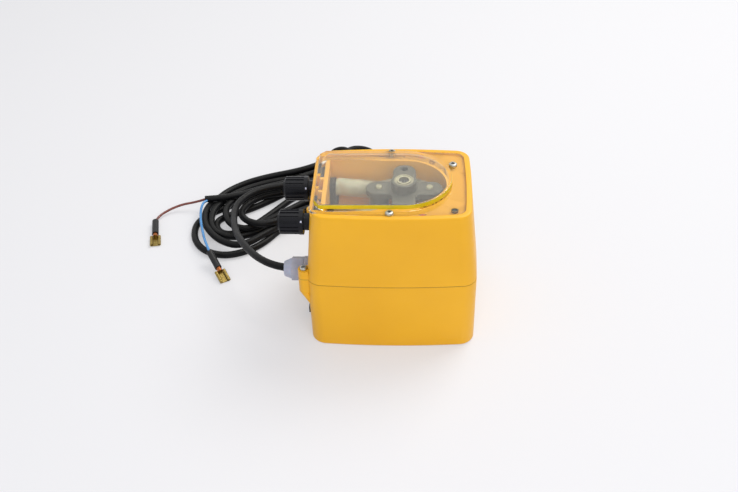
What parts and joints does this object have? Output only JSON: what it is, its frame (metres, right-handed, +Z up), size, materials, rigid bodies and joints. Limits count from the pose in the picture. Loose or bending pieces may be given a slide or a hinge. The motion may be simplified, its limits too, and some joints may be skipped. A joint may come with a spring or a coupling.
{
  "type": "peristaltic hose pump",
  "caption": "Yellow peristaltic metering pump: roller rotor and U-shaped hose under a clear cover, ribbed union nuts, cable gland and a loose coiled mains cable.",
  "frame": {"origin": "middle of the base's flat underside, on the surface that the pump stands on", "axes": "+X to the right, away from the ports and the cable gland; +Y away from the front face; +Z up through the cover"},
  "size_m": [0.2952, 0.2881, 0.1278],
  "materials": {
    "yellow_plastic": "satin moulded",
    "clear_plastic": "clear, faintly warm",
    "black_plastic": "satin",
    "grey_plastic": "satin moulded",
    "gland_plastic": "satin",
    "hose_rubber": "translucent grey rubber",
    "seal_rubber": "matt",
    "steel": "turned",
    "zinc": "zinc plated",
    "motor_metal": "painted",
    "cream_plastic": "satin",
    "cable_sheath": "smooth sheath",
    "brown_core": "smooth insulation",
    "blue_core": "smooth insulation",
    "brass": "bright stamped",
    "white_plastic": "satin"
  },
  "bodies": {
    "housing": {"lower_housing": "yellow_plastic", "upper_housing": "yellow_plastic", "housing_seal": "seal_rubber", "clear_cover": "clear_plastic", "cover_screws": "zinc", "housing_screws": "zinc", "wall_bracket": "black_plastic", "rear_connector": "grey_plastic", "front_connector": "grey_plastic", "rear_clip": "black_plastic", "front_clip": "black_plastic", "pump_hose": "hose_rubber", "shaft_bush": "white_plastic", "gearbox": "motor_metal", "motor": "steel", "gearbox_screws": "zinc", "terminal_block": "white_plastic", "inner_leads": "cable_sheath", "gland_body": "gland_plastic", "gland_seal": "seal_rubber", "gland_nut": "gland_plastic", "gland_locknut": "gland_plastic", "cable_lead": "cable_sheath", "cable_tail": "cable_sheath", "cable_coil": "cable_sheath", "core_brown": "brown_core", "core_blue": "blue_core", "boot_brown": "black_plastic", "boot_blue": "black_plastic", "receptacle_brown": "brass", "receptacle_blue": "brass"},
    "rotor": {"rotor_frame": "grey_plastic", "rotor_base": "grey_plastic", "hub_bearing": "cream_plastic", "rotor_screw": "steel", "roller_pins": "cream_plastic", "drive_shaft": "steel"},
    "left_roller_body": {"left_roller": "white_plastic"},
    "right_roller_body": {"right_roller": "white_plastic"},
    "rear_ring": {"rear_grip_ring": "white_plastic"},
    "rear_nut": {"rear_union_nut": "black_plastic"},
    "front_ring": {"front_grip_ring": "white_plastic"},
    "front_nut": {"front_union_nut": "black_plastic"}
  },
  "joints": [
    {"name": "rotor_spin", "type": "hinge", "parent": "housing", "child": "rotor", "pos_m": [0.0094, 0, 0.1], "axis": [0, 0, 1], "continuous": true},
    {"name": "left_roller_spin", "type": "hinge", "parent": "rotor", "child": "left_roller_body", "pos_m": [-0.0102, 0, 0.1], "axis": [0, 0, 1], "continuous": true},
    {"name": "right_roller_spin", "type": "hinge", "parent": "rotor", "child": "right_roller_body", "pos_m": [0.029, 0, 0.1], "axis": [0, 0, 1], "continuous": true},
    {"name": "rear_ring_slide", "type": "slide", "parent": "housing", "child": "rear_ring", "axis": [-1, 0, 0], "range_m": [0, 0.006]},
    {"name": "rear_nut_turn", "type": "hinge", "parent": "rear_ring", "child": "rear_nut", "pos_m": [-0.08, 0.0224, 0.101], "axis": [-1, 0, 0], "range_deg": [0, 1080]},
    {"name": "front_ring_slide", "type": "slide", "parent": "housing", "child": "front_ring", "axis": [-1, 0, 0], "range_m": [0, 0.006]},
    {"name": "front_nut_turn", "type": "hinge", "parent": "front_ring", "child": "front_nut", "pos_m": [-0.08, -0.0224, 0.101], "axis": [-1, 0, 0], "range_deg": [0, 1080]}
  ],
  "couplings": [
    {"joint": "rear_ring_slide", "follows": "rear_nut_turn", "m_per_rad": 0.0003183},
    {"joint": "front_ring_slide", "follows": "front_nut_turn", "m_per_rad": 0.0003183}
  ]
}
